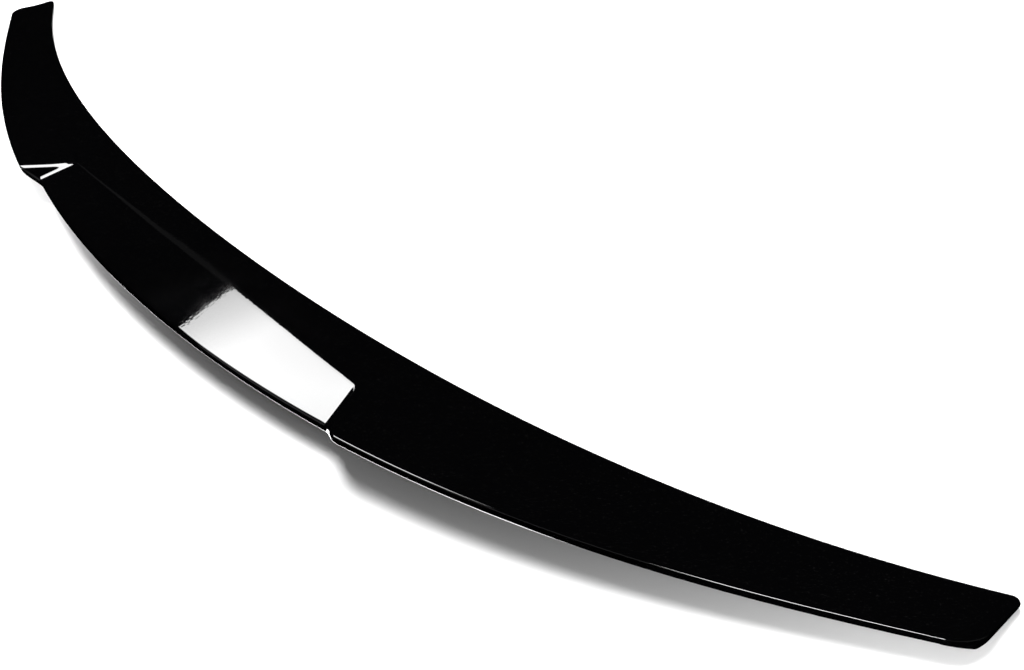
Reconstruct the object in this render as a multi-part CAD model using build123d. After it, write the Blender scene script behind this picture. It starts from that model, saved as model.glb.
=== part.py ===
"""Boot-lid lip spoiler: one gloss ABS moulding, hollow and open underneath.

Millimetres. +X runs along the span, +Y towards the front of the car, +Z up.
Every section is drawn in a plane across the span and named by u = x / HALF_SPAN.
"""

import os

from build123d import *

# span, plan and height of the two guide edges
HALF_SPAN = 600.0
CHORD = 93.3
TRAIL_BOW = 175.1
LEAD_BOW = 129.7
WING_HEIGHT = 38.0
WING_DROP = 0.5895 * WING_HEIGHT
LEAD_HEIGHT = 25.9
LEAD_DROP = 0.8726 * LEAD_HEIGHT

# section
WALL = 3.0
NOSE = 3.0
HOLLOW = 4.5
SWEEP_RATIO = 2.6
LIP_FACE = 8.2
LIP_TOP_RADIUS = 1.5
LIP_LOW_RADIUS = 3.0
RETURN_RUN = 0.84
FRONT_LAND = 14.0
FOOT_FLANGE = 12.0

# recessed centre panel and the two banks beside it
CREASE_Y = 65.0
PANEL_SET_IN = 9.6
PANEL_LIP_RADIUS = 3.0
BANK_TIP_X = 207.5
BANK_LOW_X = 211.5
BANK_TOP_X = 228.5
BANK_FOOT_RADIUS = 4.0

# tips
TIP_RAKE = 6.0
TIP_TRAIL_RADIUS = 34.0
TIP_LEAD_RADIUS = 4.0
TIP_WALL = 5.0

STATIONS = (0.0, 0.15, 0.3, 0.45, 0.6, 0.75, 0.9, 1.05)
CLEAR = 60.0


def trail_y(u):
    """Plan curve of the wing lip."""
    return TRAIL_BOW * (0.873 * u**2 + 0.306 * u**4 - 0.179 * u**6)


def lead_y(u):
    """Plan curve of the leading edge."""
    return CHORD + LEAD_BOW * (0.726 * u**2 + 0.274 * u**4)


def lip_top_z(u):
    """Height of the upper edge of the wing lip."""
    return WING_HEIGHT - WING_DROP * (1.366 * u**2 - 0.366 * u**4)


def lip_low_z(u):
    """Height of its lower edge: the rear face thins out at the tips."""
    return lip_top_z(u) - LIP_FACE * (1 - 0.27 * u**8)


def lead_z(u):
    """Height of the middle of the leading nose."""
    return LEAD_HEIGHT - LEAD_DROP * (0.818 * u**2 + 0.182 * u**4)


def chord_at(u):
    return lead_y(u) - trail_y(u)


def lip_top(u):
    return Vector(trail_y(u), lip_top_z(u))


def lip_low(u):
    return Vector(trail_y(u), lip_low_z(u))


def foot(u):
    return Vector(trail_y(u) + RETURN_RUN * lip_low_z(u), 0)


def nose_top(u):
    return Vector(lead_y(u), lead_z(u) + NOSE / 2)


def nose_low(u):
    return Vector(lead_y(u), lead_z(u) - NOSE / 2)


def top_middle(u):
    """Corner between the flat front and the kicked-up rear of the top skin."""
    return (nose_top(u) + lip_top(u)) * 0.5 - Vector(0, HOLLOW * chord_at(u) / CHORD)


def sweep_radius(u):
    return SWEEP_RATIO * chord_at(u)


def top_z(u, y):
    """Height of the top skin: flat front, flat rear and the wide sweep that joins them."""
    v = (lead_y(u) - y) / chord_at(u)
    straight = nose_top(u).Y * (1 - v) + lip_top(u).Y * v
    share = 4 * SWEEP_RATIO * HOLLOW / CHORD
    off = abs(1 - 2 * v)
    rise = off + max(share - off, 0) ** 2 / (2 * share)
    return straight - HOLLOW * chord_at(u) / CHORD * (1 - rise)


def cross(p, d, q, e):
    """Where the line from p along d meets the line from q along e."""
    gap = q - p
    return p + d * ((gap.X * e.Y - gap.Y * e.X) / (d.X * e.Y - d.Y * e.X))


def section(u, points, radii):
    """Closed face in the plane across the span at u."""
    plane = Plane(origin=(u * HALF_SPAN, 0, 0), x_dir=(0, 1, 0), z_dir=(1, 0, 0))
    outline = FilletPolyline(*[(p.X, p.Y) for p in points], radius=radii, close=True)
    return plane * make_face(outline.edges())


def outer_section(u):
    points = [nose_top(u), top_middle(u), lip_top(u), lip_low(u), foot(u), nose_low(u)]
    nose_radius = 0.45 * NOSE
    radii = [nose_radius, sweep_radius(u), LIP_TOP_RADIUS, LIP_LOW_RADIUS, LIP_TOP_RADIUS, nose_radius]
    return section(u, points, radii)


def cavity_section(u):
    """Hollow between the bonding lands, which narrow with the chord towards the tips."""
    taper = chord_at(u) / CHORD
    along = (nose_low(u) - foot(u)).normalized()
    up = Vector(-along.Y, along.X)
    back = (lip_low(u) - foot(u)).normalized()
    inward = Vector(back.Y, -back.X)
    skin = Vector(0, -WALL)
    middle = top_middle(u) + skin + Vector(0, 0.2 * HOLLOW * taper)
    front_dir = nose_top(u) + skin - middle
    rear_dir = lip_top(u) + skin - middle
    inner_back = foot(u) + inward * WALL
    inner_lip = Vector(0, 1.5 * WALL)
    lip_corner = cross(inner_back, back, middle - inner_lip, rear_dir)
    land_end = nose_low(u) - along * FRONT_LAND * taper
    flange_run = along * FOOT_FLANGE * taper
    flange_top = foot(u) + up * WALL
    points = [
        cross(land_end, up, middle, front_dir),
        middle,
        lip_corner + inner_lip,
        lip_corner,
        cross(inner_back, back, flange_top, along),
        flange_top + flange_run,
        foot(u) + flange_run - up * WALL,
        land_end - up * WALL,
    ]
    return section(u, points, [0, sweep_radius(u) / 3, 0, 0, 0, 0, 0, 0])


def panel_lip(u):
    """Top edge of the panel's lip: the wing lip slid down the return skin."""
    return lip_top(u) + Vector(PANEL_SET_IN, -PANEL_SET_IN / RETURN_RUN)


def recess_section(u, shift):
    """Space over the panel, lowered and moved forward by shift."""
    crease = Vector(CREASE_Y, top_z(u, CREASE_Y))
    slope = (crease - panel_lip(u)).normalized()
    move = Vector(shift, -shift)
    lip = panel_lip(u) + move
    lip_base = lip - Vector(0, LIP_FACE)
    points = [
        lip,
        crease + move + slope * CHORD / 3,
        Vector(lead_y(u), CLEAR),
        Vector(trail_y(u) - CLEAR, CLEAR),
        lip_base - Vector(CLEAR, 0),
        lip_base,
    ]
    return section(u, points, [PANEL_LIP_RADIUS, 0, 0, 0, 0, 0])


def bank_corners(side):
    """Point, panel end and wing end of the triangular bank beside the panel."""
    low = panel_lip(BANK_LOW_X / HALF_SPAN)
    top = lip_top(BANK_TOP_X / HALF_SPAN)
    return (
        Vector(side * BANK_TIP_X, CREASE_Y, top_z(BANK_TIP_X / HALF_SPAN, CREASE_Y)),
        Vector(side * BANK_LOW_X, low.X, low.Y - LIP_FACE / 2),
        Vector(side * BANK_TOP_X, top.X, top.Y - LIP_FACE / 2),
    )


def bank_plane(side, shift):
    tip, low, top = bank_corners(side)
    normal = (top - tip).cross(low - tip).normalized() * side
    return Plane(origin=tip + normal * shift, z_dir=normal)


def recess(shift):
    """Space over the panel and between the banks, rounded where the two meet."""
    reach = BANK_TOP_X / HALF_SPAN + 0.06
    space = loft([recess_section(reach * s, shift) for s in (-1, -0.6, -0.3, 0, 0.3, 0.6, 1)])
    for side in (-1, 1):
        space = split(space, bisect_by=bank_plane(side, shift), keep=Keep.BOTTOM)
    feet = []
    for side in (-1, 1):
        tip, low, top = bank_corners(side)
        feet.append(space.edges().sort_by_distance((tip + low) * 0.5)[0])
    return fillet(feet, radius=BANK_FOOT_RADIUS)


def full_length(make, reach):
    stations = [-s for s in reversed(STATIONS[1:])] + list(STATIONS)
    return loft([make(s * reach) for s in stations])


def tip_waste():
    """Everything outside the rounded plan of the right-hand tip."""
    tip_u = 1 - TIP_RAKE / HALF_SPAN
    inner_u = tip_u - CLEAR / HALF_SPAN
    inner_x = inner_u * HALF_SPAN
    outer_x = HALF_SPAN + CLEAR
    slope = (trail_y(tip_u) - trail_y(tip_u - 0.01)) / (0.01 * HALF_SPAN)
    outline = FilletPolyline(
        (inner_x, trail_y(tip_u) - slope * CLEAR),
        (tip_u * HALF_SPAN, trail_y(tip_u)),
        (HALF_SPAN, lead_y(1)),
        (inner_x, lead_y(inner_u) + NOSE),
        (inner_x, lead_y(1) + CLEAR),
        (outer_x, lead_y(1) + CLEAR),
        (outer_x, -CLEAR),
        (inner_x, -CLEAR),
        radius=[0, TIP_TRAIL_RADIUS, TIP_LEAD_RADIUS, 0, 0, 0, 0, 0],
        close=True,
    )
    return extrude(make_face(outline.edges()), amount=CLEAR, both=True)


def spoiler():
    body = full_length(outer_section, 1.0)
    body -= tip_waste()
    body -= mirror(tip_waste(), about=Plane.YZ)
    body -= recess(0)
    hollow = full_length(cavity_section, (HALF_SPAN - TIP_RAKE - TIP_WALL) / HALF_SPAN / STATIONS[-1])
    hollow -= recess(WALL)
    return body - hollow


shell = spoiler()
points, _ = shell.tessellate(0.1)
middle = (min(p.Y for p in points) + max(p.Y for p in points)) / 2
shell = Pos(0, -middle, -min(p.Z for p in points)) * shell
shell.label = "spoiler_shell"

os.makedirs("parts", exist_ok=True)
export_step(shell, "parts/spoiler_shell.step")
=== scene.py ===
import math

import bmesh
import bpy
import numpy as np
from mathutils import Matrix, Quaternion, Vector


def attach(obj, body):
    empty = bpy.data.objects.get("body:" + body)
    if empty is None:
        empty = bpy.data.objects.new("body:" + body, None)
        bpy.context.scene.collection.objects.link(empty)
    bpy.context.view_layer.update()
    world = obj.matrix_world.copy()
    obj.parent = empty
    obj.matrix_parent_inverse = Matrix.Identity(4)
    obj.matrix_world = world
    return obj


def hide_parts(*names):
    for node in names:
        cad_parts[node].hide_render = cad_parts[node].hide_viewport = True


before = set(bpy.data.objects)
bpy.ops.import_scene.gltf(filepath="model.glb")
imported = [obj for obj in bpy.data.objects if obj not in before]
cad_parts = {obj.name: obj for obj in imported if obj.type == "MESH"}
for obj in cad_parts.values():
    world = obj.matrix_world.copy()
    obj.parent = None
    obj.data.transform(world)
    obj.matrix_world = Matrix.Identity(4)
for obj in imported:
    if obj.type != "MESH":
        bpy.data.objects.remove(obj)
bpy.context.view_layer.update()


# Spoiler shell: one injection-moulded ABS lip spoiler, hollow and open underneath, painted gloss black.
# It is bonded to the boot lid by the two lands of its underside, so nothing else is fixed to it.
# The skin repeats the section formulas of the solid with a fine mesh, because gloss paint shows every facet.

# sizes in millimetres, in the frame that the sections are drawn in
HALF_SPAN = 600.0
CHORD = 93.3
TRAIL_BOW = 175.1
LEAD_BOW = 129.7
WING_HEIGHT = 38.0
WING_DROP = 22.4
LEAD_HEIGHT = 25.9
LEAD_DROP = 22.6
WALL = 3.0
LIP_WALL = 1.3 * WALL
NOSE = 3.0
HOLLOW = 4.5
SWEEP_RATIO = 2.6
LIP_FACE = 8.2
RETURN_RUN = 0.84
FRONT_LAND = 14.0
FOOT_FLANGE = 12.0
CREASE_Y = 65.0
PANEL_SET_IN = 9.6
BANK_TIP_X = 207.5
BANK_LOW_X = 211.5
BANK_TOP_X = 228.5
TIP_X = 594.0
TIP_TRAIL_RADIUS = 34.0
TIP_LEAD_RADIUS = 4.0
CAVITY_END_X = 589.0

# rounds of the edges, and the widths over which two skins ease into each other
LIP_TOP_RADIUS = 1.5
LIP_LOW_RADIUS = 2.6
PANEL_LIP_RADIUS = 3.0
NOSE_TOP_RADIUS = 1.35
NOSE_LOW_RADIUS = 1.3
CREASE_EASE = 0.35
BANK_TOP_EASE = 2.3
BANK_FOOT_EASE = 2.4
BANK_FADE_DEPTH = 1.5
BANK_FADE_RUN = 4.5
JOG_EASE = 2.4
JOG_DEPTH = 0.5
FOOT_EASE = 1.72
LEAST_EDGE = 0.2
ROUND_SHARE = 0.46

# steps of the mesh: fine where the banks are, and a patch of its own at each tip
COARSE_STEP = 8.0
FINE_STEP = 0.75
FINE_FROM_X = 192.0
FINE_TO_X = 250.0
TIP_PATCH_X = 540.0
TIP_PATCH_ROWS = 25
CHORD_POINTS = 104
TIP_TRAIL_POINTS = 60
TIP_LEAD_POINTS = 24
ROUND_POINTS = 9
INNER_SKIN_POINTS = 33
SLOPE_STEP = 0.05
WELD = 0.002
SHARP_DEGREES = 42

# strips of the rim and the underside, as shares of the way down the rear face, the return skin and the land
FACE_SHARES = (0.33, 0.67)
RETURN_SHARES = (0.35, 0.7, 0.9, 0.96, 1.0)
LAND_SHARES = (0.06, 0.15, 0.5)
PAINTED_RETURN_STRIPS = 2
LEAST_FOOT_SHARE = 0.3
MOST_FOOT_SHARE = 0.9
FRONT_FOOT_SHARE = 0.5

# from the sections' frame to the part's: middle of the plan, lowest point on the floor
PART_SHIFT = np.array([0.0, -115.02, -0.42])
MM_PER_M = 1000


def trail_y(x):
    """Plan curve of the wing lip."""
    u = x / HALF_SPAN
    return TRAIL_BOW * (0.873 * u**2 + 0.306 * u**4 - 0.179 * u**6)


def lead_y(x):
    """Plan curve of the leading edge."""
    u = x / HALF_SPAN
    return CHORD + LEAD_BOW * (0.726 * u**2 + 0.274 * u**4)


def lip_top_z(x):
    """Height of the upper edge of the wing lip."""
    u = x / HALF_SPAN
    return WING_HEIGHT - WING_DROP * (1.366 * u**2 - 0.366 * u**4)


def lip_low_z(x):
    """Height of its lower edge: the rear face thins out at the tips."""
    u = x / HALF_SPAN
    return lip_top_z(x) - LIP_FACE * (1 - 0.27 * u**8)


def nose_z(x):
    """Height of the middle of the leading nose."""
    u = x / HALF_SPAN
    return LEAD_HEIGHT - LEAD_DROP * (0.818 * u**2 + 0.182 * u**4)


def foot_y(x):
    """Plan curve of the foot, where the return skin reaches the boot lid."""
    return trail_y(x) + RETURN_RUN * lip_low_z(x)


def smooth_max(a, b, width):
    """The higher of two skins, with the corner between them eased over a width."""
    near = np.clip(1 - np.abs(a - b) / width, 0, 1)
    return np.maximum(a, b) + 0.25 * width * near * near


def smooth_min(a, b, width):
    """The lower of two skins, eased in the same way."""
    return -smooth_max(-a, -b, width)


def wing_z(x, y):
    """Swept top skin: flat front, kicked-up rear and a long sweep between them."""
    chord = lead_y(x) - trail_y(x)
    rel = (y - 0.5 * (lead_y(x) + trail_y(x))) / (0.5 * chord)
    front = nose_z(x) + NOSE / 2
    rear = lip_top_z(x)
    bend = HOLLOW * chord / CHORD
    sweep = 4 * SWEEP_RATIO * HOLLOW / CHORD
    inside = np.clip(sweep - np.abs(rel), 0, None)
    rise = np.abs(rel) + 0.5 * inside * inside / sweep
    return 0.5 * (front + rear) - bend + 0.5 * (front - rear) * rel + bend * rise


def panel_lip_z(x):
    """Height of the panel's lip: the wing lip slid down the return skin."""
    return lip_top_z(x) - PANEL_SET_IN / RETURN_RUN


def panel_z(x, y):
    """Straight panel from the crease down to its own lip."""
    crease_z = wing_z(x, CREASE_Y)
    lip_y = trail_y(x) + PANEL_SET_IN
    return panel_lip_z(x) + (crease_z - panel_lip_z(x)) * (y - lip_y) / (CREASE_Y - lip_y)


bank_point = np.array([BANK_TIP_X, CREASE_Y, panel_z(BANK_TIP_X, CREASE_Y)])
bank_low_y = trail_y(BANK_LOW_X) + PANEL_SET_IN
bank_low = np.array([BANK_LOW_X, bank_low_y, panel_lip_z(BANK_LOW_X) - LIP_FACE / 2])
bank_top = np.array([BANK_TOP_X, trail_y(BANK_TOP_X), lip_top_z(BANK_TOP_X) - LIP_FACE / 2])
bank_normal = np.cross(bank_top - bank_point, bank_low - bank_point)
BANK_SLOPE_X = -bank_normal[0] / bank_normal[2]
BANK_SLOPE_Y = -bank_normal[1] / bank_normal[2]


def bank_z(x, y):
    """Plane of the triangular bank between the panel and the wing."""
    return bank_point[2] + BANK_SLOPE_X * (x - BANK_TIP_X) + BANK_SLOPE_Y * (y - CREASE_Y)


def top_z(x, y):
    """Top skin: the wing, cut down to the panel and the bank, with the crease and bank edges rounded."""
    panel = panel_z(x, y)
    bank = bank_z(x, y)
    at_bank = np.clip((bank - panel + BANK_FADE_DEPTH) / BANK_FADE_RUN, 0, 1)
    edge = CREASE_EASE + BANK_TOP_EASE * at_bank * at_bank * (3 - 2 * at_bank)
    return smooth_min(wing_z(x, y), smooth_max(panel, bank, BANK_FOOT_EASE), edge)


def slide(x):
    """How far the lip has slid down the return skin: nothing on the wings, all the way at the panel."""
    gap = lip_top_z(x) - JOG_DEPTH - bank_z(x, trail_y(x))
    free = gap / (BANK_SLOPE_Y + 1 / RETURN_RUN)
    return smooth_min(smooth_max(free, 0.0, JOG_EASE), PANEL_SET_IN, JOG_EASE)


def under_z(x, y):
    """Outer underside: the return skin from the lip to the foot, then the bonding face up to the nose."""
    back = (foot_y(x) - y) / RETURN_RUN
    base = (nose_z(x) - NOSE / 2) * (y - foot_y(x)) / (lead_y(x) - foot_y(x))
    return smooth_max(back, base, FOOT_EASE)


def corner_arc(corner, to_a, to_b, radius, steps):
    """Points of the round that eases a plan corner, from the side of to_a to the side of to_b."""
    to_a = to_a / np.linalg.norm(to_a)
    to_b = to_b / np.linalg.norm(to_b)
    half = 0.5 * math.acos(float(to_a @ to_b))
    mid = (to_a + to_b) / np.linalg.norm(to_a + to_b)
    centre = corner + mid * radius / math.sin(half)
    start = corner + to_a * radius / math.tan(half) - centre
    end = corner + to_b * radius / math.tan(half) - centre
    turn = math.atan2(start[0] * end[1] - start[1] * end[0], float(start @ end))
    a = np.linspace(0, turn, steps)[:, None]
    side = np.array([-start[1], start[0]])
    return centre + np.cos(a) * start + np.sin(a) * side


def at_lengths(path, share):
    """Points of a plan polyline at the given shares of its length."""
    run = np.concatenate([[0], np.cumsum(np.linalg.norm(np.diff(path, axis=0), axis=1))])
    return np.stack([np.interp(share * run[-1], run, path[:, k]) for k in (0, 1)], axis=1)


# plan outline of the right half: trailing edge, rounded tip, leading edge
chordwise = np.linspace(0, 1, CHORD_POINTS)
stations = np.concatenate([
    np.arange(0, FINE_FROM_X, COARSE_STEP),
    np.arange(FINE_FROM_X, FINE_TO_X, FINE_STEP),
    np.arange(FINE_TO_X, TIP_PATCH_X, COARSE_STEP),
    [TIP_PATCH_X]])
tip_corner = np.array([TIP_X, trail_y(TIP_X)])
tip_lead = np.array([HALF_SPAN, lead_y(HALF_SPAN)])
trail_back = np.array([-1.0, trail_y(TIP_X - 1) - trail_y(TIP_X)])
lead_back = np.array([-1.0, lead_y(HALF_SPAN - 1) - lead_y(HALF_SPAN)])
tip_path = np.concatenate([
    corner_arc(tip_corner, trail_back, tip_lead - tip_corner, TIP_TRAIL_RADIUS, TIP_TRAIL_POINTS),
    corner_arc(tip_lead, tip_corner - tip_lead, lead_back, TIP_LEAD_RADIUS, TIP_LEAD_POINTS)])
patch = np.linspace(0, 1, TIP_PATCH_ROWS)[1:]
trail_x = np.concatenate([stations, TIP_PATCH_X + (tip_path[0, 0] - TIP_PATCH_X) * patch])
lead_x = np.concatenate([stations, TIP_PATCH_X + (tip_path[-1, 0] - TIP_PATCH_X) * patch])
slot_x = np.concatenate([stations, TIP_PATCH_X + (CAVITY_END_X - TIP_PATCH_X) * patch])
rear_rim = np.stack([trail_x, trail_y(trail_x) + slide(trail_x)], axis=1)
lead_rim = np.stack([lead_x, lead_y(lead_x)], axis=1)
tip_rim = at_lengths(tip_path, chordwise)
rim = np.concatenate([rear_rim, tip_rim[1:-1], lead_rim[::-1]])
n_row = len(trail_x)
n_col = len(chordwise)
n_rim = len(rim)
step = np.gradient(rim, axis=0)
step[0] = (1.0, 0.0)
step[-1] = (-1.0, 0.0)
step /= np.linalg.norm(step, axis=1)[:, None]
outward = np.stack([step[:, 1], -step[:, 0]], axis=1)
on_rear = np.arange(n_rim) < n_row
sunk = np.where(on_rear, np.clip(slide(rim[:, 0]) / PANEL_SET_IN, 0, 1), 0)
rear_round = LIP_TOP_RADIUS + (PANEL_LIP_RADIUS - LIP_TOP_RADIUS) * sunk
round_top = np.where(on_rear, rear_round, NOSE_TOP_RADIUS)
round_low = np.where(on_rear, LIP_LOW_RADIUS, NOSE_LOW_RADIUS)


# top skin grid inside the rim's round, bent at its end to follow the rounded tip
inner = rim - outward * round_top[:, None]
inner[0, 0] = inner[-1, 0] = 0.0
rear_in = inner[:n_row]
lead_in = inner[n_rim - n_row:][::-1]
tip_in = np.concatenate([rear_in[-1:], inner[n_row:n_rim - n_row], lead_in[-1:]])
along = chordwise[None, :, None]
plan = rear_in[:, None] * (1 - along) + lead_in[:, None] * along
patch_row = len(stations) - 1
toward_tip = np.concatenate([[0.0], patch])[:, None, None]
plan[patch_row:] += toward_tip * (tip_in - plan[-1])[None]
top = np.dstack([plan, top_z(plan[..., 0], plan[..., 1])])


# rim band: rounded upper edge, rear face and rounded lower edge, all round the plan outline
def skin_slope(surface, point, way):
    """Slope of a skin along a direction of the plan."""
    ahead = point + way * SLOPE_STEP
    behind = point - way * SLOPE_STEP
    return (surface(ahead[:, 0], ahead[:, 1]) - surface(behind[:, 0], behind[:, 1])) / (2 * SLOPE_STEP)


inner_z = top_z(inner[:, 0], inner[:, 1])
edge_z = inner_z + skin_slope(top_z, inner, outward) * round_top
low_in = rim - outward * round_low[:, None]
low_in[0, 0] = low_in[-1, 0] = 0.0
low_z = under_z(low_in[:, 0], low_in[:, 1])
floor_z = low_z + skin_slope(under_z, low_in, outward) * round_low
room = np.maximum(edge_z - floor_z, LEAST_EDGE)
fall_top = np.minimum(round_top, ROUND_SHARE * room)
fall_low = np.minimum(round_low, ROUND_SHARE * room)
band = []
for t in np.linspace(0, 1, ROUND_POINTS)[1:]:
    away = 1 - (1 - t) ** 2
    xy = inner + (rim - inner) * away
    z = (1 - t) ** 2 * inner_z + 2 * t * (1 - t) * edge_z + t * t * (edge_z - fall_top)
    band.append(np.column_stack([xy, z]))
for t in FACE_SHARES:
    z = (edge_z - fall_top) * (1 - t) + (floor_z + fall_low) * t
    band.append(np.column_stack([rim, z]))
for t in np.linspace(0, 1, ROUND_POINTS):
    away = t * t
    xy = rim + (low_in - rim) * away
    z = (1 - t) ** 2 * (floor_z + fall_low) + 2 * t * (1 - t) * floor_z + t * t * low_z
    band.append(np.column_stack([xy, z]))


# underside: return skin, foot and bonding lands, up to the edge of the hollow
taper = (lead_y(slot_x) - trail_y(slot_x)) / CHORD
base = np.stack([lead_y(slot_x) - foot_y(slot_x), nose_z(slot_x) - NOSE / 2], axis=1)
base /= np.linalg.norm(base, axis=1)[:, None]
normal = np.stack([-base[:, 1], base[:, 0]], axis=1)
foot = np.stack([foot_y(slot_x), np.zeros(n_row)], axis=1)
nose_low = np.stack([lead_y(slot_x), nose_z(slot_x) - NOSE / 2], axis=1)
flange_edge = foot + base * (FOOT_FLANGE * taper)[:, None]
land_edge = nose_low - base * (FRONT_LAND * taper)[:, None]
end_slot = flange_edge[-1] * (1 - chordwise[:, None]) + land_edge[-1] * chordwise[:, None]
slot_edge = np.concatenate([
    np.column_stack([slot_x, flange_edge]),
    np.column_stack([np.full(n_col - 2, CAVITY_END_X), end_slot[1:-1]]),
    np.column_stack([slot_x, land_edge])[::-1]])
lands = []
foot_share = (foot_y(low_in[:, 0]) - low_in[:, 1]) / (slot_edge[:, 1] - low_in[:, 1])
foot_share = np.clip(foot_share, LEAST_FOOT_SHARE, MOST_FOOT_SHARE)
foot_share = np.where(on_rear, foot_share, FRONT_FOOT_SHARE)
for t in RETURN_SHARES:
    xy = low_in + (slot_edge[:, :2] - low_in) * (t * foot_share)[:, None]
    lands.append(np.column_stack([xy, under_z(xy[:, 0], xy[:, 1])]))
for t in LAND_SHARES:
    xy = low_in + (slot_edge[:, :2] - low_in) * (foot_share + t * (1 - foot_share))[:, None]
    lands.append(np.column_stack([xy, under_z(xy[:, 0], xy[:, 1])]))
slot_edge[:, 2] = under_z(slot_edge[:, 0], slot_edge[:, 1])
lands.append(slot_edge)


# hollow: flange edge and top, inner return skin, inner top skin and the wall of the front land
back_way = np.stack([trail_y(slot_x) - foot_y(slot_x), lip_low_z(slot_x)], axis=1)
back_way /= np.linalg.norm(back_way, axis=1)[:, None]
inward = np.stack([back_way[:, 1], -back_way[:, 0]], axis=1)
flange_top = flange_edge + normal * WALL
inner_back = foot + inward * WALL
gap = foot + normal * WALL - inner_back
turn = base[:, 0] * back_way[:, 1] - base[:, 1] * back_way[:, 0]
flange_root = inner_back + back_way * ((base[:, 0] * gap[:, 1] - base[:, 1] * gap[:, 0]) / turn)[:, None]
lip_y = trail_y(slot_x) + slide(slot_x) + LIP_WALL
lip_run = (lip_y - inner_back[:, 0]) / back_way[:, 0]
lip_low = inner_back + back_way * lip_run[:, None]
lip_top_inside = np.maximum(top_z(slot_x, lip_y) - WALL, lip_low[:, 1] + LEAST_EDGE)
lip_top = np.stack([lip_y, lip_top_inside], axis=1)
wall_height = top_z(slot_x, land_edge[:, 0]) - WALL - land_edge[:, 1]
wall_y = land_edge[:, 0] + normal[:, 0] / normal[:, 1] * wall_height
flange_middle = 0.5 * (flange_top + flange_root)
back_middle = 0.5 * (flange_root + lip_low)
below_skin = [flange_top, flange_middle, flange_root, back_middle, lip_low]
under_skin = [lip_top]
for t in np.linspace(0, 1, INNER_SKIN_POINTS)[1:]:
    y = lip_y + (wall_y - lip_y) * t
    under_skin.append(np.stack([y, top_z(slot_x, y) - WALL], axis=1))
hollow = [np.column_stack([slot_x, strip]) for strip in below_skin + under_skin]


# one closed mesh of the right half, mirrored to the left
points = [top.reshape(-1, 3)]
count = n_row * n_col
grid = np.arange(count).reshape(n_row, n_col)
quads = [np.stack([grid[:-1, :-1], grid[1:, :-1], grid[1:, 1:], grid[:-1, 1:]], axis=-1).reshape(-1, 4)]
row = np.concatenate([grid[:, 0], grid[-1, 1:-1], grid[::-1, -1]])
for ring in band + lands:
    ids = count + np.arange(n_rim)
    count += n_rim
    points.append(ring)
    quads.append(np.stack([row[:-1], ids[:-1], ids[1:], row[1:]], axis=-1))
    row = ids
n_gloss = sum(len(strip) for strip in quads[:1 + len(band) + PAINTED_RETURN_STRIPS])
slot_row = row
row = slot_row[:n_row]
wall_ids = []
for strip in hollow:
    ids = count + np.arange(n_row)
    count += n_row
    points.append(strip)
    quads.append(np.stack([row[:-1], ids[:-1], ids[1:], row[1:]], axis=-1))
    row = ids
    wall_ids.append(int(ids[-1]))
ids = slot_row[::-1][:n_row]
quads.append(np.stack([row[:-1], ids[:-1], ids[1:], row[1:]], axis=-1))
half = (np.concatenate(points) + PART_SHIFT) / MM_PER_M
half[:, 2] = np.maximum(half[:, 2], 0.0)

# end wall of the hollow: triangles between the flange and slot edge below and the inner top skin above
wall_low = wall_ids[:len(below_skin)][::-1] + slot_row[n_row - 1:n_rim - n_row + 1].tolist()
wall_high = wall_ids[len(below_skin):]
end_wall = []
low_at = 0
high_at = 0
while low_at + 1 < len(wall_low) or high_at + 1 < len(wall_high):
    step_low = high_at + 1 == len(wall_high)
    if not step_low and low_at + 1 < len(wall_low):
        step_low = half[wall_low[low_at + 1], 1] <= half[wall_high[high_at + 1], 1]
    if step_low:
        end_wall.append([wall_low[low_at], wall_low[low_at + 1], wall_high[high_at]])
        low_at += 1
    else:
        end_wall.append([wall_low[low_at], wall_high[high_at + 1], wall_high[high_at]])
        high_at += 1

faces = np.concatenate(quads).tolist() + end_wall
mirrored = half * np.array([-1.0, 1.0, 1.0])
all_faces = faces + [[k + count for k in reversed(face)] for face in faces]
shell_mesh = bpy.data.meshes.new("spoiler_shell_gloss")
shell_mesh.from_pydata(np.concatenate([half, mirrored]).tolist(), [], all_faces)
bare = np.zeros(len(all_faces), int)
bare[n_gloss:len(faces)] = 1
bare[len(faces) + n_gloss:] = 1
shell_mesh.polygons.foreach_set("material_index", bare)
shell_mesh.polygons.foreach_set("use_smooth", np.ones(len(all_faces), bool))
work = bmesh.new()
work.from_mesh(shell_mesh)
bmesh.ops.remove_doubles(work, verts=work.verts, dist=WELD / MM_PER_M)
bmesh.ops.recalc_face_normals(work, faces=work.faces)
work.to_mesh(shell_mesh)
work.free()
shell_mesh.set_sharp_from_angle(angle=math.radians(SHARP_DEGREES))
shell = bpy.data.objects.new("spoiler_shell_gloss", shell_mesh)
bpy.context.scene.collection.objects.link(shell)

# gloss paint: long moulding waves under a fine orange peel, with slight changes of polish and a little dust
paint = bpy.data.materials.new("gloss_black_paint")
paint.use_nodes = True
nodes = paint.node_tree.nodes
links = paint.node_tree.links
shader = nodes["Principled BSDF"]
where = nodes.new("ShaderNodeTexCoord")
waves = nodes.new("ShaderNodeTexNoise")
waves.inputs["Scale"].default_value = 15.0
waves.inputs["Detail"].default_value = 1.0
peel = nodes.new("ShaderNodeTexNoise")
peel.inputs["Scale"].default_value = 420.0
peel.inputs["Detail"].default_value = 1.0
polish = nodes.new("ShaderNodeTexNoise")
polish.inputs["Scale"].default_value = 30.0
polish.inputs["Detail"].default_value = 4.0
specks = nodes.new("ShaderNodeTexNoise")
specks.inputs["Scale"].default_value = 1100.0
specks.inputs["Detail"].default_value = 0.0
for texture in (waves, peel, polish, specks):
    links.new(where.outputs["Object"], texture.inputs["Vector"])
wave_bump = nodes.new("ShaderNodeBump")
wave_bump.inputs["Strength"].default_value = 1.0
wave_bump.inputs["Distance"].default_value = 0.0002
links.new(waves.outputs["Fac"], wave_bump.inputs["Height"])
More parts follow.
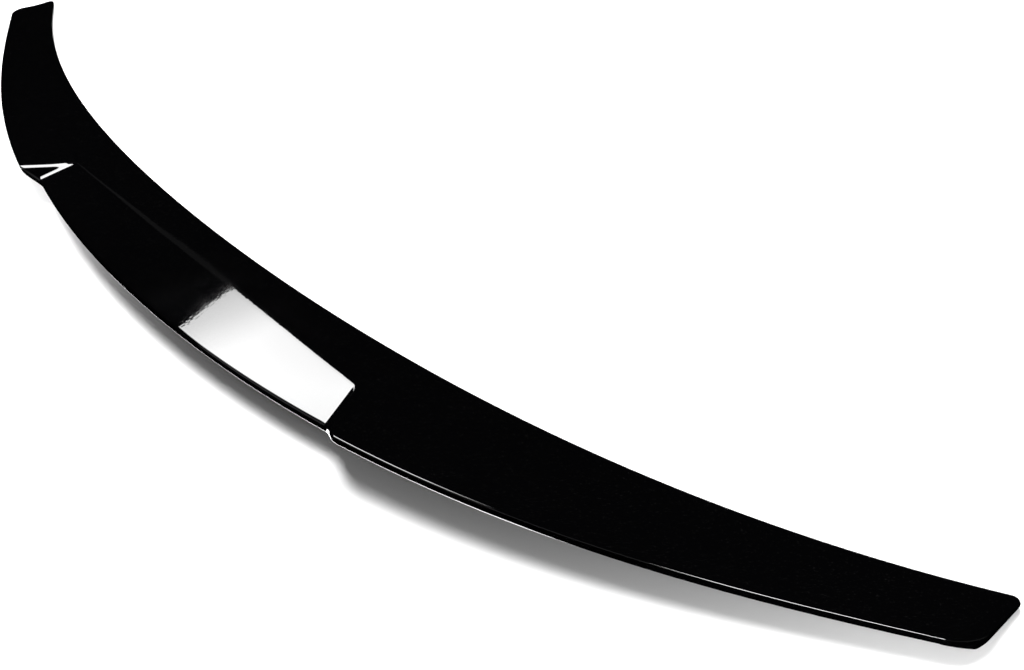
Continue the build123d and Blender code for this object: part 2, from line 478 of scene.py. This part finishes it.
peel_bump = nodes.new("ShaderNodeBump")
peel_bump.inputs["Strength"].default_value = 1.0
peel_bump.inputs["Distance"].default_value = 0.000008
links.new(peel.outputs["Fac"], peel_bump.inputs["Height"])
links.new(wave_bump.outputs["Normal"], peel_bump.inputs["Normal"])
links.new(peel_bump.outputs["Normal"], shader.inputs["Normal"])
sheen = nodes.new("ShaderNodeMapRange")
sheen.inputs["From Min"].default_value = 0.3
sheen.inputs["From Max"].default_value = 0.7
sheen.inputs["To Min"].default_value = 0.015
sheen.inputs["To Max"].default_value = 0.05
links.new(polish.outputs["Fac"], sheen.inputs["Value"])
links.new(sheen.outputs["Result"], shader.inputs["Roughness"])
dust = nodes.new("ShaderNodeValToRGB")
dust.color_ramp.elements[0].position = 0.72
dust.color_ramp.elements[0].color = (0.0005, 0.0005, 0.0006, 1)
dust.color_ramp.elements[1].position = 0.80
dust.color_ramp.elements[1].color = (0.0035, 0.0035, 0.0035, 1)
links.new(specks.outputs["Fac"], dust.inputs["Fac"])
links.new(dust.outputs["Color"], shader.inputs["Base Color"])
shell_mesh.materials.append(paint)

# bare inner side: satin black ABS with the fine grain of the mould and cloudy flow marks
plastic = bpy.data.materials.new("raw_black_plastic")
plastic.use_nodes = True
nodes = plastic.node_tree.nodes
links = plastic.node_tree.links
shader = nodes["Principled BSDF"]
where = nodes.new("ShaderNodeTexCoord")
flow = nodes.new("ShaderNodeTexNoise")
flow.inputs["Scale"].default_value = 9.0
flow.inputs["Detail"].default_value = 3.0
flow.inputs["Distortion"].default_value = 1.2
grain = nodes.new("ShaderNodeTexNoise")
grain.inputs["Scale"].default_value = 1600.0
grain.inputs["Detail"].default_value = 2.0
for texture in (flow, grain):
    links.new(where.outputs["Object"], texture.inputs["Vector"])
tone = nodes.new("ShaderNodeValToRGB")
tone.color_ramp.elements[0].position = 0.3
tone.color_ramp.elements[0].color = (0.011, 0.011, 0.012, 1)
tone.color_ramp.elements[1].position = 0.7
tone.color_ramp.elements[1].color = (0.020, 0.020, 0.021, 1)
links.new(flow.outputs["Fac"], tone.inputs["Fac"])
links.new(tone.outputs["Color"], shader.inputs["Base Color"])
satin = nodes.new("ShaderNodeMapRange")
satin.inputs["From Min"].default_value = 0.3
satin.inputs["From Max"].default_value = 0.7
satin.inputs["To Min"].default_value = 0.40
satin.inputs["To Max"].default_value = 0.56
links.new(flow.outputs["Fac"], satin.inputs["Value"])
links.new(satin.outputs["Result"], shader.inputs["Roughness"])
grain_bump = nodes.new("ShaderNodeBump")
grain_bump.inputs["Strength"].default_value = 0.6
grain_bump.inputs["Distance"].default_value = 0.00006
links.new(grain.outputs["Fac"], grain_bump.inputs["Height"])
links.new(grain_bump.outputs["Normal"], shader.inputs["Normal"])
shell_mesh.materials.append(plastic)
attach(shell, "root")
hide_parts("spoiler_shell")


# Floor: a plain white studio floor that the part lies on.
# It is staging and not part of the object, and it has no gloss of its own.
FLOOR_HALF = 6.0
corners = [(-1, -1), (1, -1), (1, 1), (-1, 1)]
floor_mesh = bpy.data.meshes.new("floor")
floor_mesh.from_pydata([(x * FLOOR_HALF, y * FLOOR_HALF, 0) for x, y in corners], [], [(0, 1, 2, 3)])
floor = bpy.data.objects.new("floor", floor_mesh)
bpy.context.scene.collection.objects.link(floor)
floor_paint = bpy.data.materials.new("floor_white")
floor_paint.use_nodes = True
floor_shader = floor_paint.node_tree.nodes["Principled BSDF"]
floor_shader.inputs["Base Color"].default_value = (0.86, 0.86, 0.86, 1)
floor_shader.inputs["Roughness"].default_value = 0.7
floor_shader.inputs["Specular IOR Level"].default_value = 0.0
floor_mesh.materials.append(floor_paint)


# Light: studio softboxes that the gloss paint mirrors on the panel, the crease, the lips and the rear faces,
# and low strips that show its form from the other sides. All of these are seen in reflections only.
# One large front light throws the shadow and two small fills soften it, and the paint doesn't mirror them.
def softbox(name, place, aim, size, watts, roll=0.0):
    light = bpy.data.lights.new(name, "AREA")
    light.shape = "RECTANGLE"
    light.size, light.size_y = size
    light.energy = watts
    lamp = bpy.data.objects.new(name, light)
    lamp.location = place
    lamp.rotation_mode = "QUATERNION"
    turn = (Vector(aim) - Vector(place)).to_track_quat("-Z", "Y")
    lamp.rotation_quaternion = turn @ Quaternion((0, 0, 1), roll)
    lamp.visible_camera = False
    bpy.context.scene.collection.objects.link(lamp)
    return lamp


panel_box = softbox(
    "panel_box", place=(-0.9025, -0.0284, 1.7775), aim=(-0.2858, -0.1539, 1.0004),
    size=(1.2, 1.2), watts=105, roll=0.30)
lip_box = softbox(
    "lip_box", place=(1.55, -0.95, 2.55), aim=(0.5, 0.05, 0.0),
    size=(1.15, 1.1), watts=190)
crease_box = softbox(
    "crease_box", place=(-1.629, 0.405, 1.131), aim=(-1.012, 0.280, 0.354),
    size=(0.07, 0.7), watts=0.009, roll=0.395)
under_box = softbox(
    "under_box", place=(-0.10, 0.06, -0.30), aim=(-0.10, 0.06, 0.0),
    size=(0.75, 0.30), watts=3.2)
rear_strip = softbox(
    "rear_strip", place=(0.0, -4.0, 1.7), aim=(0.0, 0.0, 0.1),
    size=(7.0, 2.8), watts=31)
nose_strip = softbox(
    "nose_strip", place=(0.0, 4.0, 0.75), aim=(0.0, 0.0, 0.1),
    size=(6.0, 1.1), watts=20)
right_strip = softbox(
    "right_strip", place=(4.0, 0.0, 1.2), aim=(0.0, 0.0, 0.1),
    size=(5.0, 2.0), watts=10)
for lamp in (panel_box, lip_box, crease_box, under_box, rear_strip, nose_strip, right_strip):
    lamp.visible_diffuse = False
front_box = softbox(
    "front_box", place=(-2.3, 1.7, 4.4), aim=(0.0, 0.0, 0.0),
    size=(3.0, 3.0), watts=800)
tip_fill = softbox(
    "tip_fill", place=(0.70, -0.06, 0.11), aim=(0.55, 0.0, 0.0),
    size=(0.08, 0.08), watts=0.55)
bank_fill = softbox(
    "bank_fill", place=(-0.26, -0.19, 0.09), aim=(-0.225, -0.10, 0.0),
    size=(0.06, 0.06), watts=0.32)
for lamp in (front_box, tip_fill, bank_fill):
    lamp.visible_glossy = False
floor.visible_glossy = False

# the panel's softbox is dimmer towards one side and one end, as one with its lamp off centre is
panel_box.data.use_nodes = True
nodes = panel_box.data.node_tree.nodes
links = panel_box.data.node_tree.links
on_box = nodes.new("ShaderNodeNewGeometry")
box_axes = nodes.new("ShaderNodeSeparateXYZ")
side_fade = nodes.new("ShaderNodeMapRange")
side_fade.inputs["From Max"].default_value = 0.25
side_fade.inputs["To Min"].default_value = 0.68
side_fade.inputs["To Max"].default_value = 0.93
end_fade = nodes.new("ShaderNodeMapRange")
end_fade.inputs["From Min"].default_value = 0.02
end_fade.inputs["From Max"].default_value = 0.16
end_fade.inputs["To Min"].default_value = 0.6
end_fade.inputs["To Max"].default_value = 1.0
both_fades = nodes.new("ShaderNodeMath")
both_fades.operation = "MULTIPLY"
links.new(on_box.outputs["Parametric"], box_axes.inputs["Vector"])
links.new(box_axes.outputs["X"], side_fade.inputs["Value"])
links.new(box_axes.outputs["Y"], end_fade.inputs["Value"])
links.new(side_fade.outputs["Result"], both_fades.inputs[0])
links.new(end_fade.outputs["Result"], both_fades.inputs[1])
links.new(both_fades.outputs["Value"], nodes["Emission"].inputs["Strength"])

# a dim grey room fills the shadow and isn't mirrored either
world = bpy.data.worlds.new("studio")
world.use_nodes = True
world.node_tree.nodes["Background"].inputs["Color"].default_value = (0.17, 0.17, 0.17, 1)
world.cycles_visibility.glossy = False
bpy.context.scene.world = world
bpy.context.scene.view_settings.view_transform = "Standard"


# Camera: the photograph's view from behind, above the right-hand tip.
# Its place, turn and focal length were fitted to the photograph together with the edges of the part.
PHOTO_WIDTH_PX = 1024
FOCAL_LENGTH_PX = 932.42
SENSOR_WIDTH = 36.0
camera_data = bpy.data.cameras.new("camera")
camera_data.sensor_width = SENSOR_WIDTH
camera_data.lens = FOCAL_LENGTH_PX / PHOTO_WIDTH_PX * SENSOR_WIDTH
camera_data.clip_start = 0.01
camera = bpy.data.objects.new("camera", camera_data)
place = Vector((0.603325, -0.242541, 0.498538))
right = Vector((0.70838546, 0.7008228, -0.08388947))
up = Vector((-0.46625335, 0.55385704, 0.68981895))
back = Vector((0.52990363, -0.44954397, 0.71910525))
turn_matrix = Matrix((right, up, back)).transposed().to_4x4()
camera.matrix_world = Matrix.Translation(place) @ turn_matrix
bpy.context.scene.collection.objects.link(camera)
bpy.context.scene.camera = camera
